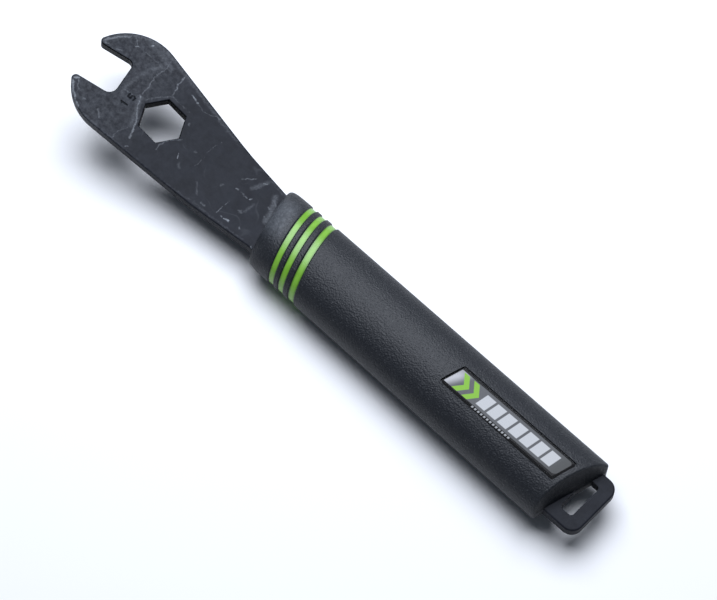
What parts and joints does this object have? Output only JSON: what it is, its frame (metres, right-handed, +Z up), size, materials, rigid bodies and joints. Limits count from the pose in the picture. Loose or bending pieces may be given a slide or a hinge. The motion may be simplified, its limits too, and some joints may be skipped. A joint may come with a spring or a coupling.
{
  "type": "pedal wrench",
  "caption": "Flat steel pedal wrench with an angled open jaw and a hexagonal ring on a bent blade, a moulded oval grip with coloured rings and a badge, and a hanging slot.",
  "frame": {"origin": "centre of the hexagonal hole at the blade's mid-thickness", "axes": "+X along the handle from the hanging slot towards the open jaw, +Z up as the tool lies on its grip with the badge on top, +Y to the left when looking along +X"},
  "size_m": [0.2497, 0.041, 0.0276],
  "materials": {
    "blade_steel": "dark satin plating with fine scratches and small dents from use",
    "grip_rubber": "soft sheen over a fine leathery grain",
    "ring_colour": "glossy green",
    "badge_print": "printed film, a grey blend with green and white shapes in a black border",
    "clear_resin": "clear polished resin"
  },
  "bodies": {
    "root": {"blade": "blade_steel", "grip": "grip_rubber", "band_front": "ring_colour", "band_middle": "ring_colour", "band_rear": "ring_colour", "badge_label": "badge_print", "badge_dome": "clear_resin"}
  },
  "joints": []
}
